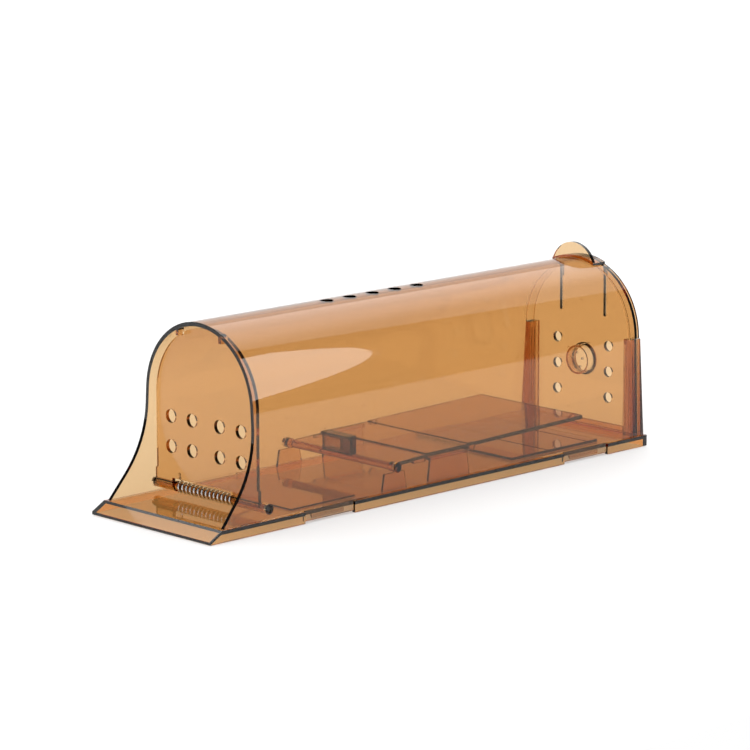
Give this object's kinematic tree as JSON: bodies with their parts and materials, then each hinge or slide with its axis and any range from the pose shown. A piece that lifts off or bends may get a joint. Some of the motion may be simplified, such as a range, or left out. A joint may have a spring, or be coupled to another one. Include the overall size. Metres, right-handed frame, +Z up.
{
  "type": "live catch trap",
  "caption": "Clear tunnel trap that catches small rodents alive: a sprung front flap falls shut when a treadle is stepped on, and a rear door slides up for bait and release.",
  "frame": {"origin": "middle of the footprint on the resting face", "axes": "+Z up, +Y from the entry towards the rear door, X across the width"},
  "size_m": [0.09, 0.32, 0.1092],
  "materials": {
    "tray_plastic": "clear amber moulded plastic, high gloss",
    "cover_plastic": "clear amber moulded plastic, high gloss",
    "fittings_plastic": "clear amber moulded plastic, high gloss",
    "spring_wire": "bright plated spring wire"
  },
  "bodies": {
    "housing": {"base_tray": "tray_plastic", "tunnel_cover": "cover_plastic", "door_hinge_pin": "fittings_plastic", "door_spring": "spring_wire"},
    "front_flap": {"front_door": "fittings_plastic"},
    "treadle_rocker": {"treadle": "fittings_plastic", "trigger_hook": "fittings_plastic"},
    "rear_slide": {"rear_door": "fittings_plastic", "bait_cup": "fittings_plastic"}
  },
  "joints": [
    {"name": "front_door_hinge", "type": "hinge", "parent": "housing", "child": "front_flap", "pos_m": [0, -0.1195, 0.0112], "axis": [-1, 0, 0], "range_deg": [0, 82], "stiffness_Nm_per_rad": 0.01, "springref_deg": -114.59, "deforming": ["door_spring"]},
    {"name": "treadle_pivot", "type": "hinge", "parent": "housing", "child": "treadle_rocker", "pos_m": [0, -0.03, 0.0178], "axis": [1, 0, 0], "range_deg": [0, 8]},
    {"name": "rear_door_slide", "type": "slide", "parent": "housing", "child": "rear_slide", "axis": [0, 0, 1], "range_m": [0, 0.1]}
  ]
}
